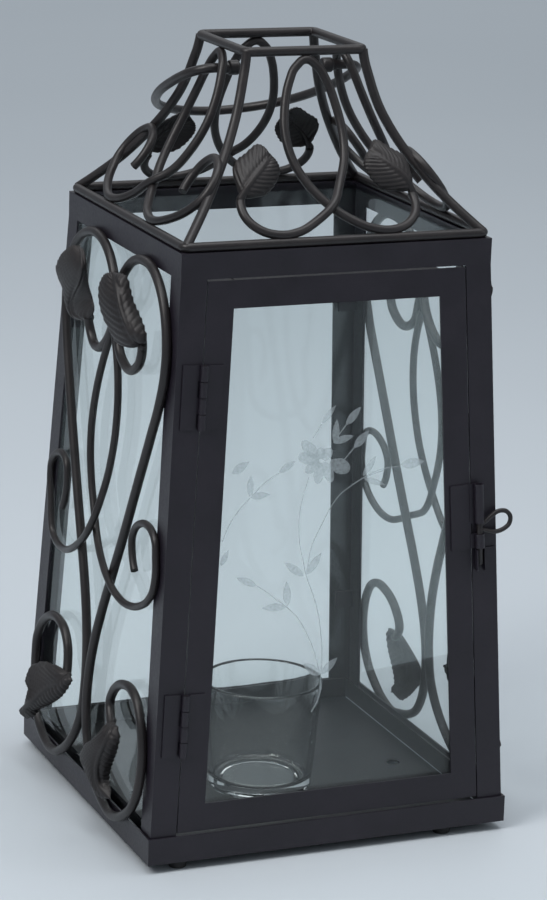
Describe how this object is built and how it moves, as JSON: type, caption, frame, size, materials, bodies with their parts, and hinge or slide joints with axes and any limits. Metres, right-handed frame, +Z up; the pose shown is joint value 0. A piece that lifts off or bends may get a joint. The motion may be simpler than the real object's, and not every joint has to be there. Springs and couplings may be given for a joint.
{
  "type": "candle lantern",
  "caption": "Square tapered candle lantern: dark steel frame, clear glass sides, hinged door with slide latch, scrolled side wires, leafy open crown, bail handle and glass cup.",
  "frame": {"origin": "on the table under the middle of the square case", "axes": "+Z up, the door faces -Y, the door hinges are towards -X"},
  "size_m": [0.2414, 0.2038, 0.4141],
  "materials": {
    "dark_steel": "satin dark brown-black powder coat",
    "clear_glass": "clear, faint green edge",
    "cup_glass": "clear pressed glass",
    "foot_rubber": "matt black",
    "pin_steel": "satin"
  },
  "bodies": {
    "case": {"base_skirt": "dark_steel", "crown_corner_front_left": "dark_steel", "crown_corner_front_right": "dark_steel", "crown_corner_rear_left": "dark_steel", "crown_corner_rear_right": "dark_steel", "crown_leaf_front_left": "dark_steel", "crown_leaf_front_right": "dark_steel", "crown_leaf_rear_left": "dark_steel", "crown_leaf_rear_right": "dark_steel", "crown_ribbon_front": "dark_steel", "crown_ribbon_left": "dark_steel", "crown_ribbon_rear": "dark_steel", "crown_ribbon_right": "dark_steel", "crown_ring_lower": "dark_steel", "crown_ring_upper": "dark_steel", "feet": "foot_rubber", "floor_plate": "dark_steel", "hinge_lower_frame_leaf": "dark_steel", "hinge_pins": "pin_steel", "hinge_upper_frame_leaf": "dark_steel", "latch_keeper": "dark_steel", "leaf_left_lower_front": "dark_steel", "leaf_left_lower_rear": "dark_steel", "leaf_left_upper_front": "dark_steel", "leaf_left_upper_rear": "dark_steel", "leaf_right_lower_front": "dark_steel", "leaf_right_lower_rear": "dark_steel", "leaf_right_upper_front": "dark_steel", "leaf_right_upper_rear": "dark_steel", "pane_clips": "dark_steel", "pane_left": "clear_glass", "pane_rear": "clear_glass", "pane_right": "clear_glass", "post_front_left": "dark_steel", "post_front_right": "dark_steel", "post_rear_left": "dark_steel", "post_rear_right": "dark_steel", "scroll_left_front": "dark_steel", "scroll_left_rear": "dark_steel", "scroll_right_front": "dark_steel", "scroll_right_rear": "dark_steel", "sill_frame": "dark_steel", "tendril_left_front": "dark_steel", "tendril_left_rear": "dark_steel", "tendril_right_front": "dark_steel", "tendril_right_rear": "dark_steel", "top_band": "dark_steel"},
    "door": {"door_clips": "dark_steel", "door_pane": "clear_glass", "door_rail_bottom": "dark_steel", "door_rail_top": "dark_steel", "door_stile_hinge": "dark_steel", "door_stile_latch": "dark_steel", "hinge_lower_door_leaf": "dark_steel", "hinge_upper_door_leaf": "dark_steel", "latch_plate": "dark_steel"},
    "latch_bolt_body": {"latch_bolt": "dark_steel"},
    "bail": {"bail_wire": "dark_steel", "bail_knobs": "dark_steel"},
    "cup": {"votive_cup": "cup_glass"}
  },
  "joints": [
    {"name": "door_hinge", "type": "hinge", "parent": "case", "child": "door", "pos_m": [-0.08268, -0.09937, 0.07802], "axis": [-0.0514, -0.0514, -0.9974], "range_deg": [0, 120]},
    {"name": "latch_slide", "type": "slide", "parent": "door", "child": "latch_bolt_body", "axis": [-0.0514, 0.0514, 0.9974], "range_m": [0, 0.011]},
    {"name": "bail_hinge", "type": "hinge", "parent": "case", "child": "bail", "pos_m": [0, 0, 0.3988], "axis": [1, 0, 0], "range_deg": [0, 220]},
    {"name": "cup_lift", "type": "slide", "parent": "case", "child": "cup", "axis": [0, 0, 1], "range_m": [0, 0.04]}
  ]
}
